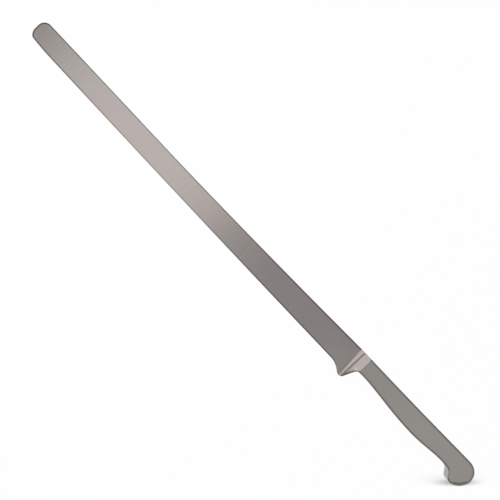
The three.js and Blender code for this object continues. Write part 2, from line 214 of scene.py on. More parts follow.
# %% Outline of the blade
BLADE_WIDTH_FRONT = 15.7
SPINE_FLARE_LENGTH = 194
SPINE_FLARE_POWER = 1.6
EDGE_BELLY = 0.55
EDGE_TIP_RISE = 1.1
EDGE_TIP_RISE_LENGTH = 22
TIP_RADIUS_EDGE = 6.3
TIP_CORNER_CUT = 1.15
TIP_FLAT = 3.45
TIP_ROUND_LEVEL = EDGE_TIP_RISE - TIP_CORNER_CUT
TIP_RADIUS_SPINE = BLADE_WIDTH_FRONT - TIP_ROUND_LEVEL - TIP_RADIUS_EDGE - TIP_FLAT
TIP_MIDDLE = TIP_ROUND_LEVEL + TIP_RADIUS_EDGE + TIP_FLAT / 2
HEEL_SWEEP_LENGTH = 10.5
HEEL_DROP = 4.1

FRONT_STEPS, TIP_STEPS, BLADE_STEPS, HEEL_STEPS = 6, 24, 60, 20


def quarter_drop(x, radius):
    """How far a quarter circle of the radius at the tip has still to rise at x."""
    short = np.clip(radius - (x + BLADE_LENGTH), 0, radius)
    return radius - np.sqrt(radius**2 - short**2)


def spine_level(x):
    """Height of the spine: the front width, plus a flare that grows with a power of x, less the tip."""
    flare = np.clip(1 + x / SPINE_FLARE_LENGTH, 0, None) ** SPINE_FLARE_POWER
    level = BLADE_WIDTH_FRONT + (BLADE_WIDTH_HEEL - BLADE_WIDTH_FRONT) * flare
    return level - quarter_drop(x, TIP_RADIUS_SPINE)


def heel_sweep(x):
    """0 along the blade, and a parabola up to 1 where the heel meets the beard."""
    return np.clip(1 + x / HEEL_SWEEP_LENGTH, 0, None) ** 2


def edge_level(x):
    """Height of the edge: a rise at the tip, less a parabola for its belly and one for the heel. Within
    the tip it is the greater of this and a quarter circle, so the two meet at a blunt corner."""
    belly = EDGE_BELLY * (1 - (1 + 2 * x / BLADE_LENGTH) ** 2)
    rise = EDGE_TIP_RISE * np.clip(1 - (x + BLADE_LENGTH) / EDGE_TIP_RISE_LENGTH, 0, None) ** 2
    line = rise - belly - HEEL_DROP * heel_sweep(x)
    tip = TIP_ROUND_LEVEL + quarter_drop(x, TIP_RADIUS_EDGE)
    return np.where(x + BLADE_LENGTH < TIP_RADIUS_EDGE, np.maximum(line, tip), line)


def blade_side(level, radius, hand):
    """One side of the blade's outline and its inward directions, from the middle of the blunt front
    round the tip to the heel. Behind the tip, inwards is straight across the blade."""
    turn = np.linspace(0, np.pi / 2, TIP_STEPS, endpoint=False)
    tip_end = radius - BLADE_LENGTH
    x = np.concatenate([
        radius * (1 - np.cos(turn)) - BLADE_LENGTH,
        np.linspace(tip_end, -HEEL_SWEEP_LENGTH, BLADE_STEPS, endpoint=False),
        np.linspace(-HEEL_SWEEP_LENGTH, 0, HEEL_STEPS),
    ])
    front = np.linspace(TIP_MIDDLE, level(x[0]), FRONT_STEPS, endpoint=False)
    path = np.column_stack([
        np.concatenate([np.full(FRONT_STEPS, x[0]), x]),
        np.concatenate([front, level(x)]),
    ])
    inside = inward(path, hand)
    inside[0] = (1, 0)
    inside[path[:, 0] > tip_end] = (0, hand)
    return path, inside


spine_path, spine_inside = blade_side(spine_level, TIP_RADIUS_SPINE, -1)
edge_path, edge_inside = blade_side(edge_level, TIP_RADIUS_EDGE, 1)
print(f"blade outline: {len(spine_path)} places on each side, {spine_level(0.0):.1f} mm wide at the heel")

# %% [markdown]
# Across the blade there are three zones. The spine's corners are eased so that a finger can push on it,
# most of all near the heel. The flank is one flat plane that thins towards the edge. The edge has a narrow
# honed bevel, and the tip a blunt one. On the grid, a rim travels round the outline: the tip's bevel, which
# turns into a parabola along the spine and into the honed bevel along the edge. Between the rims the flank
# is filled to a middle line, with one extra line of points beside each rim that keeps its rounding from
# shading the flat.

# %% Section of the blade
SPINE_THICKNESS_HEEL = 2.2
SPINE_THICKNESS_TIP = 1.8
FLANK_THICKNESS_AT_EDGE = 0.8
EDGE_BEVEL_HEIGHT = 0.9
EDGE_LAND = 0.06
HEEL_LAND = 1.2
SPINE_ROUND_FRONT = 1.3
SPINE_ROUND_HEEL = 2.05
SPINE_ROUND_FROM, SPINE_ROUND_BY = -200, -40
SPINE_ROUND_DEPTH = 1 / 3
TIP_BEVEL_WIDTH = 1.1
TIP_BEVEL_DEPTH = 0.38
BESIDE_RIM = 0.03
RIM_STEPS = 10
TIP_MIDDLE_LINE = 8

RIM_SHARE = np.linspace(0, 1, RIM_STEPS + 1)[None, :]


def flank_half(x, y):
    """Half the thickness on the flat flank: a plane in x and y."""
    edge = FLANK_THICKNESS_AT_EDGE / 2
    across = (SPINE_THICKNESS_HEEL / 2 - edge) / BLADE_WIDTH_HEEL
    tip = edge + across * BLADE_WIDTH_FRONT
    along = (tip - SPINE_THICKNESS_TIP / 2) / BLADE_LENGTH
    return edge + across * y + along * x


def inset(path, inside, distance):
    """Points at distances inwards from an outline: its point plus the distance along its inside."""
    return path[:, None, :] + distance[:, :, None] * inside[:, None, :]


def round_rim(path, inside):
    """A parabola from the outline in to the flank. Its width grows towards the heel as a smooth step, and
    its depth is a share of its width."""
    wider = smooth_step(path[:, :1], SPINE_ROUND_FROM, SPINE_ROUND_BY)
    width = SPINE_ROUND_FRONT + (SPINE_ROUND_HEEL - SPINE_ROUND_FRONT) * wider
    distance = width * RIM_SHARE
    place = inset(path, inside, distance)
    half = flank_half(place[..., 0], place[..., 1]) - SPINE_ROUND_DEPTH * width * (1 - RIM_SHARE) ** 2
    return distance, half


def tip_rim(path, inside):
    """A straight line from the outline in to the flank, as wide and deep as the tip's blunt bevel."""
    distance = np.broadcast_to(TIP_BEVEL_WIDTH * RIM_SHARE, (len(path), RIM_STEPS + 1))
    place = inset(path, inside, distance)
    half = flank_half(place[..., 0], place[..., 1]) - TIP_BEVEL_DEPTH * (1 - RIM_SHARE)
    return distance, half


def bevel_rim(path, inside):
    """A straight line from the land at the very edge up to the flank at the bevel's height."""
    distance = EDGE_BEVEL_HEIGHT * np.broadcast_to(RIM_SHARE, (len(path), RIM_STEPS + 1))
    land = (EDGE_LAND + (HEEL_LAND - EDGE_LAND) * heel_sweep(path[:, :1])) / 2
    shoulder = inset(path, inside, distance)[:, -1:]
    top = np.maximum(land, flank_half(shoulder[..., 0], shoulder[..., 1]))
    return distance, land + (top - land) * RIM_SHARE


def rim_with_flank(path, inside, distance, half):
    """The rim's points from the outline in, and after them one on the flank just beside the rim."""
    distance = np.concatenate([distance, distance[:, -1:] + BESIDE_RIM], axis=1)
    place = inset(path, inside, distance)
    beside = np.maximum(half[:, -1:], flank_half(place[:, -1:, 0], place[:, -1:, 1]))
    return np.dstack([place, np.concatenate([half, beside], axis=1)])


def blade_rings():
    """Rings round the blade: left half from the spine down to the edge, right half back up."""
    past_tip = smooth_step(np.arange(len(spine_path)), FRONT_STEPS, FRONT_STEPS + TIP_STEPS)[:, None]

    def rim(path, inside, behind_tip):
        """The tip's bevel, which turns into the rim behind the tip."""
        pairs = zip(tip_rim(path, inside), behind_tip(path, inside))
        distance, half = (first + (second - first) * past_tip for first, second in pairs)
        return rim_with_flank(path, inside, distance, half)

    spine = rim(spine_path, spine_inside, round_rim)
    edge = rim(edge_path, edge_inside, bevel_rim)
    middle = (spine_path + edge_path) / 2
    middle[middle[:, 0] < TIP_MIDDLE_LINE - BLADE_LENGTH] = (TIP_MIDDLE_LINE - BLADE_LENGTH, TIP_MIDDLE)
    flat = np.column_stack([middle, flank_half(middle[:, 0], middle[:, 1])])[:, None, :]
    left = np.concatenate([spine, flat, edge[:, ::-1]], axis=1)
    right = left[:, ::-1] * (1, 1, -1)
    return np.concatenate([left, right], axis=1)


plate = blade_rings()
print(f"blade: {plate.shape[0]} rings of {plate.shape[1]} points")

# %% [markdown]
# Behind the heel the blade goes on as a narrow tang, which the handle hides. It is made by pressing the
# last ring into the tang's rectangle: each point moves to the nearest point of the rectangle. That keeps
# the ring's order, so the flat back of the heel closes without a fold.

# %% Tang, and the whole blade
BOLSTER_LENGTH = 9.2
NECK_HEIGHT = 12.7
NECK_LEVEL = SPINE_LEVEL - NECK_HEIGHT
NECK_MIDDLE = (SPINE_LEVEL + NECK_LEVEL) / 2
TANG_HEIGHT = 6
TANG_END_HEIGHT = 4
TANG_THICKNESS = 1.5
TANG_LENGTH = 57
TANG_CLEARANCE = 0.3


def pressed_into(ring, x, middle, half_height, half_thickness):
    """The ring at x with every point moved to the nearest point of a rectangle across the knife."""
    y = np.clip(ring[:, 1], middle - half_height, middle + half_height)
    z = np.clip(ring[:, 2], -half_thickness, half_thickness)
    return np.column_stack([np.full(len(ring), x), y, z])


def tang_half_height(x):
    """Half the tang's height: even through the bolster, then a straight taper to its end."""
    share = np.clip((x - BOLSTER_LENGTH) / TANG_LENGTH, 0, 1)
    return (TANG_HEIGHT + (TANG_END_HEIGHT - TANG_HEIGHT) * share) / 2


tang = np.stack([
    pressed_into(plate[-1], x, NECK_MIDDLE, tang_half_height(x), TANG_THICKNESS / 2)
    for x in (0, BOLSTER_LENGTH, BOLSTER_LENGTH + TANG_LENGTH)
])
blade = skin("blade_ground", np.concatenate([plate, tang]), start=False)
dress(blade, "blade")

# %% [markdown]
# The bolster and the front of the handle are flush, so they share one section: a flat flank with an eased
# corner at each end, and the same on the other flank. It could be cut from a block with bevels. A ring whose
# half thickness is a function of place follows the hollow of the bolster as well as the flat of the handle.

# %% Section that the bolster and the handle share
NECK_SLOPE = 10
EDGE_ROUND_WIDTH = 1.7
EDGE_ROUND_DEPTH = 0.6
INNER_ROUND = 0.5
CORNER_STEPS = 12
FLANK_STEPS = 16

CORNER_SHARE = np.linspace(0, 1, CORNER_STEPS + 1)


def collar_ring(x, top, bottom, half_at, top_round, bottom_round):
    """Ring across the knife: a parabola at the spine, a flank down half_at, a parabola below, and the
    same on the other flank. Each round is its width and depth."""
    flank_top = top - top_round[0]
    flank_bottom = bottom + bottom_round[0]
    upper = top - top_round[0] * CORNER_SHARE
    flank = np.linspace(flank_top, flank_bottom, FLANK_STEPS + 1)[1:-1]
    lower = flank_bottom - bottom_round[0] * CORNER_SHARE
    y = np.concatenate([upper, flank, lower])
    cut = np.concatenate([
        top_round[1] * (1 - CORNER_SHARE) ** 2,
        np.zeros(len(flank)),
        bottom_round[1] * CORNER_SHARE**2,
    ])
    left = np.column_stack([np.full(len(y), x), y, half_at(x, y) - cut])
    return np.concatenate([left, left[::-1] * (1, 1, -1)])


def neck_level(x):
    """Height of the handle's underside just behind the bolster, which it leaves at the neck's slope."""
    return NECK_LEVEL + math.tan(math.radians(NECK_SLOPE)) * (x - BOLSTER_LENGTH)


def neck_ring(x, depth):
    """Ring of the handle's front at x, drawn in by a depth all round."""
    def flat(x, y):
        return np.full(len(y), HALF_THICKNESS - depth)

    rounds = (EDGE_ROUND_WIDTH - depth, max(EDGE_ROUND_DEPTH - depth, INNER_ROUND))
    return collar_ring(x, SPINE_LEVEL - depth, neck_level(x) + depth, flat, rounds, rounds)


print(f"section: {len(neck_ring(BOLSTER_LENGTH, 0))} points in a ring")

# %% [markdown]
# The bolster is a forged collar. Its front rises from the blade in a small fillet and a hollow step, its
# flanks run on into the handle, and below it drops into the beard that guards the finger. So its half
# thickness is the least of two functions: the hollow along x, and a flank that thins down the beard.

# %% Collar of the bolster
BOLSTER_FRONT_LIP = 0.15
FRONT_HOLLOW_LENGTH = 3.4
FILLET_LENGTH = 1.95
FILLET_RISE = 0.25
HOLLOW_POWER = 3
BEARD_FOOT_AT = 1.9
BEARD_BACK_AT = 5.2
BEARD_BACK_LEVEL = -0.1
BEARD_BACK_ANGLE = 71
BEARD_FRONT_EASE = (0.33, 0.38)
BEARD_FOOT_EASE = (0.34, 0.52)
BEARD_NECK_EASE = (0.46, 0.2)
BEARD_THICKNESS = 5.6
BEARD_TAPER_POWER = 1.5
BEARD_EDGE_WIDTH = 4.2
BEARD_EDGE_DEPTH = 0.2
TOP_EDGE_WIDTH = 0.5
TOP_EDGE_DEPTH = 0.3
TOP_EDGE_TO = 7.5
WIDEST_EDGE = 9.0
SPIGOT_LENGTH = 8
SPIGOT_DEPTH = 1.5
HOLLOW_STEPS, COLLAR_STEPS = 36, 30


def bolster_underside():
    """Line below the bolster: from the heel round the foot of the beard and up to the neck."""
    heel_angle = math.degrees(math.atan2(-2 * HEEL_DROP, HEEL_SWEEP_LENGTH))
    foot = (BEARD_FOOT_AT, -BEARD_DROP)
    back = (BEARD_BACK_AT, BEARD_BACK_LEVEL)
    neck = (BOLSTER_LENGTH, NECK_LEVEL)
    return np.concatenate([
        bend((0, -HEEL_DROP), foot, heel_angle, BACK, BEARD_FRONT_EASE)[:-1],
        bend(foot, back, BACK, BEARD_BACK_ANGLE, BEARD_FOOT_EASE)[:-1],
        bend(back, neck, BEARD_BACK_ANGLE, BACK + NECK_SLOPE, BEARD_NECK_EASE),
    ])


def down_beard(y):
    """0 at the neck and above it, 1 at the foot of the beard."""
    return np.clip((NECK_LEVEL - y) / (NECK_LEVEL + BEARD_DROP), 0, 1)


def bolster_half(x, y):
    """Half thickness: the least of the flank's taper in y and of the hollow in x, which is a parabola
    for the fillet and then a quarter of a squarish ellipse."""
    front = SPINE_THICKNESS_HEEL / 2 + BOLSTER_FRONT_LIP
    fillet = FILLET_RISE * min(1, x / FILLET_LENGTH) ** 2
    along = np.clip((x - FILLET_LENGTH) / (FRONT_HOLLOW_LENGTH - FILLET_LENGTH), 0, 1)
    step = 1 - (1 - along**HOLLOW_POWER) ** (1 / HOLLOW_POWER)
    hollow = front + fillet + (HALF_THICKNESS - front - FILLET_RISE) * step
    thinning = (HALF_THICKNESS - BEARD_THICKNESS / 2) * down_beard(y) ** BEARD_TAPER_POWER
    return np.minimum(hollow, HALF_THICKNESS - thinning)


def bolster_ring(x, bottom, slope):
    """Ring of the bolster at x, with its corners eased as far as its thickness allows. On top the corner
    is crisp until it meets the handle's. Below, the rounding is measured square to the outline, so up the
    ring it is wider by the outline's slope."""
    def eased(start, stop, share, y):
        """A round between two others, no deeper than half of the half thickness at y."""
        width, depth = np.array(start) + (np.array(stop) - np.array(start)) * share
        room = float(bolster_half(x, np.array([y]))[0]) / 2
        return width, min(depth, room)

    handle_edge = (EDGE_ROUND_WIDTH, EDGE_ROUND_DEPTH)
    top_share = smooth_step(x, TOP_EDGE_TO, BOLSTER_LENGTH)
    top_round = eased((TOP_EDGE_WIDTH, TOP_EDGE_DEPTH), handle_edge, top_share, SPINE_LEVEL)
    beard_share = math.sqrt(down_beard(bottom))
    width, depth = eased(handle_edge, (BEARD_EDGE_WIDTH, BEARD_EDGE_DEPTH), beard_share, bottom)
    bottom_round = (min(width * math.hypot(1, slope), WIDEST_EDGE), depth)
    return collar_ring(x, SPINE_LEVEL, bottom, bolster_half, top_round, bottom_round)


fillet_places = np.linspace(0, FILLET_LENGTH, HOLLOW_STEPS, endpoint=False)
turn = np.linspace(0, np.pi / 2, HOLLOW_STEPS, endpoint=False)
hollow_places = FILLET_LENGTH + (FRONT_HOLLOW_LENGTH - FILLET_LENGTH) * np.sin(turn)
collar_places = np.linspace(FRONT_HOLLOW_LENGTH, BOLSTER_LENGTH, COLLAR_STEPS)
bolster_places = np.concatenate([fillet_places, hollow_places, collar_places])
underside = np.interp(bolster_places, *bolster_underside().T)
slopes = np.gradient(underside, bolster_places)
collar = np.stack([bolster_ring(*place) for place in zip(bolster_places, underside, slopes)])
print(f"collar: {collar.shape[0]} rings of {collar.shape[1]} points")

# %% [markdown]
# Out of sight, a spigot behind the collar fills the mouth of the handle, and a slot through both takes
# the tang. Both are the collar's last ring pressed into rectangles. The rings run back along the outside
# and forward again through the slot, so the grid closes on itself like a tyre.

# %% Spigot and slot, and the whole bolster
SPIGOT_END = BOLSTER_LENGTH + SPIGOT_LENGTH
spigot_size = (NECK_MIDDLE, NECK_HEIGHT / 2 - SPIGOT_DEPTH, HALF_THICKNESS - SPIGOT_DEPTH)
spigot = [pressed_into(collar[-1], x, *spigot_size) for x in (BOLSTER_LENGTH, SPIGOT_END)]
slot_half = TANG_THICKNESS / 2 + TANG_CLEARANCE
slot = [
    pressed_into(spigot[-1], x, NECK_MIDDLE, tang_half_height(x) + TANG_CLEARANCE, slot_half)
    for x in (SPIGOT_END, BOLSTER_LENGTH, 0)
]
bolster = skin("bolster_polished", np.concatenate([collar, spigot, slot]), loop=True)
dress(bolster, "bolster")

# %% [markdown]
# The handle is pressed from sheet in two halves that are welded together and ground. Seen from the side
# it has a straight back, a belly for the palm, a waist, and a hook that keeps a wet hand from slipping.
# The outline is split at the end of the butt into a back and a belly, each with the same number of
# places, so that a ring can join them across the handle.

# %% Outline of the handle
HANDLE_FRONT = BOLSTER_LENGTH
NECK_LENGTH = 5
NECK_RISE = 0.32
BELLY_AT = 54.1
BELLY_LEVEL = 4.4
WAIST_FROM_END = 23.8
WAIST_LEVEL = 6.8
HOOK_WALL_FROM_END = 14.2
HOOK_WALL_LEVEL = 3.4
HOOK_WALL_ANGLE = 123
HOOK_NOSE_FROM_END = 9.4
HOOK_NOSE_LEVEL = 0.6
BUTT_TOP_FROM_END = 10.6
BUTT_END_LEVEL = 10.8
BACK_EASE = (0.45, 0.12)
BUTT_TOP_EASE = (0.43, 0.42)
BUTT_FOOT_EASE = (0.32, 0.31)
NOSE_EASE = (0.39, 0.42)
WALL_EASE = (0.43, 0.46)
WAIST_EASE = (0.3, 0.4)
BELLY_EASE = (0.4, 0.3)
NECK_EASE = (0.35, 0.4)
WELD_WIDTH = 1
WELD_DEPTH = 0.6
WELD_GAP = 0.1
SHELL_FRONT = HANDLE_FRONT + WELD_WIDTH + WELD_GAP
HANDLE_PLACES = 260


def handle_back_line():
    """From the bolster along the back and round the top of the butt to its end."""
    top = (HANDLE_BACK - BUTT_TOP_FROM_END, BUTT_TOP_LEVEL)
    rise = math.degrees(math.atan2(top[1] - SPINE_LEVEL, top[0] - HANDLE_FRONT))
    return np.concatenate([
        bend((HANDLE_FRONT, SPINE_LEVEL), top, BACK, rise, BACK_EASE)[:-1],
        bend(top, (HANDLE_BACK, BUTT_END_LEVEL), BACK, DOWN, BUTT_TOP_EASE),
    ])


def handle_belly_line():
    """From the bolster along the neck, belly and waist and round the hook to the end of the butt."""
    nose = (HANDLE_BACK - HOOK_NOSE_FROM_END, HOOK_NOSE_LEVEL)
    wall = (HANDLE_BACK - HOOK_WALL_FROM_END, HOOK_WALL_LEVEL)
    waist = (HANDLE_BACK - WAIST_FROM_END, WAIST_LEVEL)
    belly = (HANDLE_FRONT + BELLY_AT, BELLY_LEVEL)
    neck = (HANDLE_FRONT + NECK_LENGTH, NECK_LEVEL + NECK_RISE)
    forward = np.concatenate([
        bend((HANDLE_BACK, BUTT_END_LEVEL), nose, DOWN, FRONT, BUTT_FOOT_EASE)[:-1],
        bend(nose, wall, FRONT, HOOK_WALL_ANGLE, NOSE_EASE)[:-1],
        bend(wall, waist, HOOK_WALL_ANGLE, FRONT, WALL_EASE)[:-1],
        bend(waist, belly, FRONT, FRONT, WAIST_EASE)[:-1],
        bend(belly, neck, FRONT, FRONT, BELLY_EASE)[:-1],
        bend(neck, (HANDLE_FRONT, NECK_LEVEL), FRONT, FRONT + NECK_SLOPE, NECK_EASE),
    ])
    return forward[::-1]


def behind(path, x):
    """The part of a line that lies behind x, which starts with a point at x."""
    level = np.interp(x, path[:, 0], path[:, 1])
    return np.concatenate([[(x, level)], path[path[:, 0] > x]])


def handle_side(line, hand):
    """One side of the outline from the front of the shells to the end of the butt, and its inside."""
    path = spread_evenly(behind(line, SHELL_FRONT), HANDLE_PLACES)
    inside = inward(path, hand)
    inside[0] = (0, hand)
    inside[-1] = (-1, 0)
    return path, inside


back_path, back_inside = handle_side(handle_back_line(), -1)
belly_path, belly_inside = handle_side(handle_belly_line(), 1)
print(f"handle outline: {HANDLE_PLACES} places on each side")

# %% [markdown]
# A half shell is a trough of sheet. Its section starts at the seam, where a groove is left for the weld,
# goes up the side, round the eased corner and over the flat flank to the middle line, and the inside
# follows one wall thickness below. Rings carry that section along both sides of the outline at once. Inside
# the hook the corner stays crisper, because a wheel hardly gets in there. At the foot of the butt, which
# takes the knocks, it is ground rounder. At the end of the butt the two sides meet, and the ring closes up
# by itself.

# %% Section of a half shell
SHELL_WALL = 1.2
GROOVE_DEPTH = WELD_DEPTH + WELD_GAP
GROOVE_HALF = WELD_WIDTH / 2 + WELD_GAP
HOOK_ROUND_DEPTH = 0.35
HOOK_FROM, HOOK_BY = 0.35, 0.75
FOOT_ROUND_WIDTH = 3.2
FOOT_ROUND_DEPTH = 1.0
FOOT_ANGLE = -43
FOOT_FROM, FOOT_BY = 0.74, 0.98
BUTT_MIDDLE_LINE = 9.2


def wall_section(depth, round_width, round_depth, seam):
    """Distances inwards and heights from the seam up the wall, round the corner and on to the flank."""
    width = round_width * CORNER_SHARE
    height = HALF_THICKNESS - depth - round_depth * (1 - CORNER_SHARE) ** 2
    distance = np.concatenate([[d for d, z in seam], depth + width, [depth + round_width + BESIDE_RIM]])
    level = np.concatenate([[z for d, z in seam], height, [HALF_THICKNESS - depth]])
    return distance, level


def outer_section(depth, round_width, round_depth):
    """Outside of the shell, drawn in by a depth where the weld at its front will sit."""
    groove = max(depth, GROOVE_DEPTH)
    seam = [(groove, 0), (groove, GROOVE_HALF), (depth, GROOVE_HALF)]
    return wall_section(depth, round_width - depth, round_depth, seam)


INNER_SECTION = wall_section(
    SHELL_WALL, EDGE_ROUND_WIDTH - SHELL_WALL, INNER_ROUND,
    [(SHELL_WALL, 0), (SHELL_WALL, GROOVE_HALF), (SHELL_WALL, GROOVE_HALF)],
)


def carried(path, inside, section):
    """A section carried along one side: points[place, step] at its distances and heights."""
    distance = np.broadcast_to(section[0], (len(path), len(section[0])))
    level = np.broadcast_to(section[1], distance.shape)
    return np.dstack([inset(path, inside, distance), level])


def carried_round_hook(path, inside, depth, plain):
    """A plain section carried along one side. It turns into a crisper one where the outline faces forward,
    and into a rounder one where it faces the foot of the butt."""
    crisp = carried(path, inside, outer_section(depth, EDGE_ROUND_WIDTH, HOOK_ROUND_DEPTH))
    rounder = carried(path, inside, outer_section(depth, FOOT_ROUND_WIDTH, FOOT_ROUND_DEPTH))
    forward = smooth_step(inside[:, 0], HOOK_FROM, HOOK_BY)[:, None, None]
    footward = smooth_step(inside @ -heading(FOOT_ANGLE), FOOT_FROM, FOOT_BY)[:, None, None]
    side = carried(path, inside, plain)
    return side + (crisp - side) * forward + (rounder - side) * footward


def shell_rings(back, back_in, belly, belly_in, depth):
    """Rings of a half shell: outside from the belly over to the back, inside from the back home."""
    outer = outer_section(depth, EDGE_ROUND_WIDTH, max(EDGE_ROUND_DEPTH - depth, INNER_ROUND))
    middle = (back + belly) / 2
    stop = np.searchsorted(middle[:, 0], HANDLE_BACK - BUTT_MIDDLE_LINE)
    middle[stop:] = middle[min(stop, len(middle) - 1)]
    crest = [np.insert(middle, 2, level, axis=1)[:, None] for level in (outer[1][-1], INNER_SECTION[1][-1])]
    return np.concatenate([
        carried_round_hook(belly, belly_in, depth, outer),
        crest[0],
        carried(back, back_in, outer)[:, ::-1],
        carried(back, back_in, INNER_SECTION),
        crest[1],
        carried(belly, belly_in, INNER_SECTION)[:, ::-1],
    ], axis=1)


def shell_front():
    """Two rings at the front, where the outside is drawn in to make room for the weld."""
    x = np.array([HANDLE_FRONT, SHELL_FRONT])
    back = np.column_stack([x, np.full(2, SPINE_LEVEL)])
    belly = np.column_stack([x, neck_level(x)])
    down, up = np.tile((0, -1), (2, 1)), np.tile((0, 1), (2, 1))
    return shell_rings(back, down, belly, up, GROOVE_DEPTH)


shell_body = shell_rings(back_path, back_inside, belly_path, belly_inside, 0)
left_rings = np.concatenate([shell_front(), shell_body])
print(f"half shell: {left_rings.shape[0]} rings of {left_rings.shape[1]} points")

# %% [markdown]
# The halves mirror each other in the seam. The right one could be a copy with a mirror modifier. Multiplying
# the rings by a sign is plainer, and the skin turns the faces outwards again by itself.

# %% Both half shells
for side, sign in (("left", 1), ("right", -1)):
    shell = skin(f"handle_half_{side}", left_rings * (1, 1, sign), end=False)
    dress(shell, f"handle_shell_{side}")

# %% [markdown]
# Two beads of weld close the handle: one along the seam between the halves, and one round its mouth
# against the bolster. Both are ground flush, so only a change of tone shows. The first is a small oblong
# section carried round the outline, and the second is two neck rings with their inner copies.

# %% Welds
SEAM_PLAY = 0.02
SEAM_FILL = GROOVE_HALF - SEAM_PLAY
FLUSH = 0.01
seam_path = np.concatenate([back_path, belly_path[-2::-1]])
seam_inside = np.concatenate([back_inside, belly_inside[-2::-1]])
bead = (
    np.array([FLUSH, FLUSH, WELD_DEPTH, WELD_DEPTH]),
    np.array([-SEAM_FILL, SEAM_FILL, SEAM_FILL, -SEAM_FILL]),
)
seam_weld = skin("seam_bead", carried(seam_path, seam_inside, bead))
dress(seam_weld, "handle_seam_weld")

mouth = [(HANDLE_FRONT, FLUSH), (SHELL_FRONT, FLUSH), (SHELL_FRONT, WELD_DEPTH), (HANDLE_FRONT, WELD_DEPTH)]
mouth_weld = skin("bolster_bead", np.stack([neck_ring(x, depth) for x, depth in mouth]), loop=True)
dress(mouth_weld, "bolster_weld")

# %% [markdown]
# A finish is a small sum of noises, so shader maths is written here as Python sums. One class wraps a
# node's output. Adding, taking away or multiplying two of them puts a Math node into the tree, and one
# method makes every other node: first its settings, then the values or wires of its sockets.

# %% Wires
SOFT_DETAIL, FINE_DETAIL = 2.0, 3.0


class Wire:
    """An output of a node that takes part in sums."""

    def __init__(self, tree, socket=None):
        self.tree = tree
        self.socket = socket

    def node(self, kind, settings=None, sockets=None, output=0):
        """Adds a node of a kind to the tree and gives one of its outputs."""
        made = self.tree.nodes.new(kind)
        for name, value in (settings or {}).items():
            setattr(made, name, value)
        for name, value in (sockets or {}).items():
            if isinstance(value, Wire):
                self.tree.links.new(value.socket, made.inputs[name])
            else:
                made.inputs[name].default_value = value
        return Wire(self.tree, made.outputs[output] if len(made.outputs) else None)

    def math(self, operation, first, second):
        """A Math node on two wires or values."""
        return self.node("ShaderNodeMath", {"operation": operation}, {0: first, 1: second})

    def __add__(self, other):
        return self.math("ADD", self, other)

    def __radd__(self, other):
        return self.math("ADD", other, self)

    def __sub__(self, other):
        return self.math("SUBTRACT", self, other)

    def __rsub__(self, other):
        return self.math("SUBTRACT", other, self)

    def __mul__(self, other):
        return self.math("MULTIPLY", self, other)

    def __rmul__(self, other):
        return self.math("MULTIPLY", other, self)


def new_material(name):
    """An empty node material and a wire that stands for its tree."""
    material = bpy.data.materials.new(name)
    material.use_nodes = True
    material.node_tree.nodes.clear()
    return material, Wire(material.node_tree)


def grain(tree, size, detail=SOFT_DETAIL):
    """Noise between 0 and 1 with grains of a size in millimetres along x, y and z of the object."""
    place = tree.node("ShaderNodeTexCoord", output="Object")
    scale = tuple(1 / (MM * length) for length in size)
    stretched = tree.node("ShaderNodeMapping", {"vector_type": "POINT"}, {"Vector": place, "Scale": scale})
    return tree.node("ShaderNodeTexNoise", None, {"Vector": stretched, "Scale": 1.0, "Detail": detail})


def blended(tree, share, first, second):
    """A colour between two others, each of which is a wire or a red, green and blue."""
    first, second = (colour if isinstance(colour, Wire) else (*colour, 1) for colour in (first, second))
    return tree.node("ShaderNodeMix", {"data_type": "RGBA"}, {0: share, 6: first, 7: second}, output=2)


def rising(tree, value, low, high):
    """0 below low, 1 above high and an even S between them, as a wire."""
    return tree.node("ShaderNodeMapRange", {"interpolation_type": "SMOOTHSTEP"}, {
        "Value": value, "From Min": low, "From Max": high,
    })


def drawn(tree):
    """The drawing's x and y of a place on the surface, in millimetres from the heel, as wires."""
    place = tree.node("ShaderNodeTexCoord", output="Object")
    return [
        (tree.node("ShaderNodeSeparateXYZ", None, {0: place}, output=axis) - float(HEEL[axis])) * (1 / MM)
        for axis in (0, 1)
    ]


def relief(tree, height, depth, strength):
    """A normal that follows a height between 0 and 1, as deep as a depth in millimetres."""
    return tree.node("ShaderNodeBump", None, {
        "Height": height, "Distance": depth * MM, "Strength": strength,
    })


def metal(tree, colour, roughness, normal):
    """Bare metal: everything that reaches the eye is a reflection, tinted by the colour."""
    shader = tree.node("ShaderNodeBsdfPrincipled", None, {
        "Base Color": colour, "Metallic": 1.0, "Roughness": roughness, "Normal": normal,
    })
    tree.node("ShaderNodeOutputMaterial", None, {"Surface": shader})


print("wires ready")

# %% [markdown]
# The blade is ground across, from spine to edge, on a fine belt. That leaves short lines which catch the
# light as a soft streaky sheen, and cloudy patches where the belt wore. The noise is drawn long across
# the blade and short along it. A finer set makes the lines, a coarser one the clouds. Low at the heel the
# tint is lifted a little towards the bolster: a painted light on the steel.

# %% Ground blade steel
CLOUD_SIZE, BELT_SIZE, LINE_SIZE = (34, 26, 26), (1.3, 14, 8), (0.45, 6, 2)
CLOUD_SHARE, BELT_SHARE, LINE_SHARE, HEEL_PAINTED_LIGHT_SHARE = 0.5, 0.6, 0.5, 0.5
MARKS_AND_HEEL_LIGHT_LESS = 0.3
HEEL_PAINTED_LIGHT_FROM, HEEL_PAINTED_LIGHT_BY = -50, -5
HEEL_PAINTED_LIGHT_TOP = 22
GROUND_DARK, GROUND_LIGHT = (0.275, 0.252, 0.242), (0.345, 0.311, 0.299)
GROUND_ROUGHNESS, CLOUD_ROUGHNESS, LINE_ROUGHNESS = 0.22, 0.05, 0.06
LINE_RELIEF, BELT_RELIEF = 0.7, 0.3
GROUND_DEPTH, GROUND_STRENGTH = 0.004, 0.25


